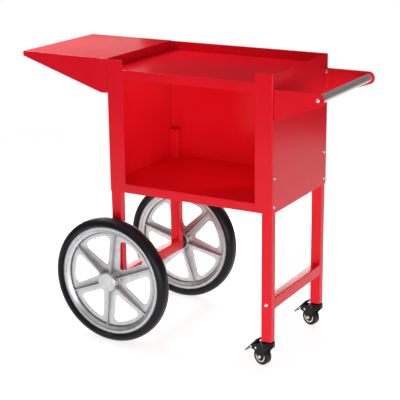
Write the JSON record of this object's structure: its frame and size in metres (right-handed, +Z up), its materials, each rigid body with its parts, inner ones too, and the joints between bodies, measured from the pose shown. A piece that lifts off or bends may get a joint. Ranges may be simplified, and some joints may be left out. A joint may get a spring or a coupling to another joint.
{
  "type": "popcorn machine cart",
  "caption": "Wheeled sheet steel cart for a counter popcorn machine: open cabinet with a tray top, side shelf, tube handle, large spoked wheels and braked swivel casters.",
  "frame": {"origin": "on the ground, under the middle of the whole cart's box", "axes": "+X along the cart towards the handle, +Y towards the closed rear of the cabinet, +Z up"},
  "size_m": [0.92, 0.46, 0.8042],
  "materials": {
    "red_enamel": "gloss powder coat",
    "silver_plastic": "metallic silver moulded plastic",
    "tyre_rubber": "satin black rubber",
    "grip_metal": "satin light grey tube",
    "zinc_steel": "bright zinc plate",
    "black_steel": "satin black coating",
    "roller_rubber": "satin black",
    "black_plastic": "moulded black"
  },
  "bodies": {
    "cart": {"left_side_panel": "red_enamel", "right_side_panel": "red_enamel", "rear_panel": "red_enamel", "cabinet_floor": "red_enamel", "top_tray": "red_enamel", "front_left_leg": "red_enamel", "rear_left_leg": "red_enamel", "left_crossbar": "red_enamel", "front_right_leg": "red_enamel", "rear_right_leg": "red_enamel", "right_crossbar": "red_enamel", "front_leg_plug": "black_plastic", "rear_leg_plug": "black_plastic", "side_shelf": "red_enamel", "front_handle_bracket": "red_enamel", "rear_handle_bracket": "red_enamel", "handle_tube": "grip_metal", "handle_plugs": "zinc_steel", "handle_bolts": "zinc_steel", "leg_bolts": "zinc_steel", "leg_rivet_nuts": "zinc_steel", "shelf_bolts": "zinc_steel", "bracket_bolts": "zinc_steel", "panel_nuts": "zinc_steel", "crossbar_bolts": "zinc_steel", "wheel_axle": "zinc_steel", "axle_nuts": "zinc_steel", "axle_washers": "zinc_steel", "front_caster_stem": "zinc_steel", "front_caster_upper_race": "black_steel", "rear_caster_stem": "zinc_steel", "rear_caster_upper_race": "black_steel"},
    "front_wheel_body": {"front_wheel_rim": "silver_plastic", "front_wheel_spokes": "silver_plastic", "front_tyre": "tyre_rubber", "front_hub_cap": "silver_plastic", "front_wheel_bushes": "black_plastic"},
    "rear_wheel_body": {"rear_wheel_rim": "silver_plastic", "rear_wheel_spokes": "silver_plastic", "rear_tyre": "tyre_rubber", "rear_hub_cap": "silver_plastic", "rear_wheel_bushes": "black_plastic"},
    "front_caster_fork_body": {"front_caster_fork": "black_steel", "front_caster_axle": "zinc_steel", "front_caster_axle_nut": "zinc_steel", "front_caster_brake_spring": "zinc_steel", "front_caster_rivets": "zinc_steel"},
    "front_caster_wheel_body": {"front_caster_tread": "roller_rubber", "front_caster_core": "black_plastic", "front_caster_rings": "zinc_steel"},
    "front_caster_pedal_body": {"front_caster_brake_pedal": "black_steel"},
    "rear_caster_fork_body": {"rear_caster_fork": "black_steel", "rear_caster_axle": "zinc_steel", "rear_caster_axle_nut": "zinc_steel", "rear_caster_brake_spring": "zinc_steel", "rear_caster_rivets": "zinc_steel"},
    "rear_caster_wheel_body": {"rear_caster_tread": "roller_rubber", "rear_caster_core": "black_plastic", "rear_caster_rings": "zinc_steel"},
    "rear_caster_pedal_body": {"rear_caster_brake_pedal": "black_steel"}
  },
  "joints": [
    {"name": "front_wheel_spin", "type": "hinge", "parent": "cart", "child": "front_wheel_body", "pos_m": [-0.1658, -0.2, 0.181], "axis": [0, 1, 0], "continuous": true},
    {"name": "rear_wheel_spin", "type": "hinge", "parent": "cart", "child": "rear_wheel_body", "pos_m": [-0.1658, 0.2, 0.181], "axis": [0, 1, 0], "continuous": true},
    {"name": "front_caster_swivel", "type": "hinge", "parent": "cart", "child": "front_caster_fork_body", "pos_m": [0.3038, -0.1583, 0.06], "axis": [0, 0, 1], "continuous": true},
    {"name": "front_caster_spin", "type": "hinge", "parent": "front_caster_fork_body", "child": "front_caster_wheel_body", "pos_m": [0.28554, -0.15306, 0.025], "axis": [-0.2756, -0.9613, 0], "continuous": true},
    {"name": "front_brake_press", "type": "hinge", "parent": "front_caster_fork_body", "child": "front_caster_pedal_body", "pos_m": [0.25641, -0.14471, 0.0464], "axis": [-0.2756, -0.9613, 0], "range_deg": [0, 12]},
    {"name": "rear_caster_swivel", "type": "hinge", "parent": "cart", "child": "rear_caster_fork_body", "pos_m": [0.3038, 0.1583, 0.06], "axis": [0, 0, 1], "continuous": true},
    {"name": "rear_caster_spin", "type": "hinge", "parent": "rear_caster_fork_body", "child": "rear_caster_wheel_body", "pos_m": [0.28554, 0.16354, 0.025], "axis": [-0.2756, -0.9613, 0], "continuous": true},
    {"name": "rear_brake_press", "type": "hinge", "parent": "rear_caster_fork_body", "child": "rear_caster_pedal_body", "pos_m": [0.25641, 0.17189, 0.0464], "axis": [-0.2756, -0.9613, 0], "range_deg": [0, 12]}
  ]
}
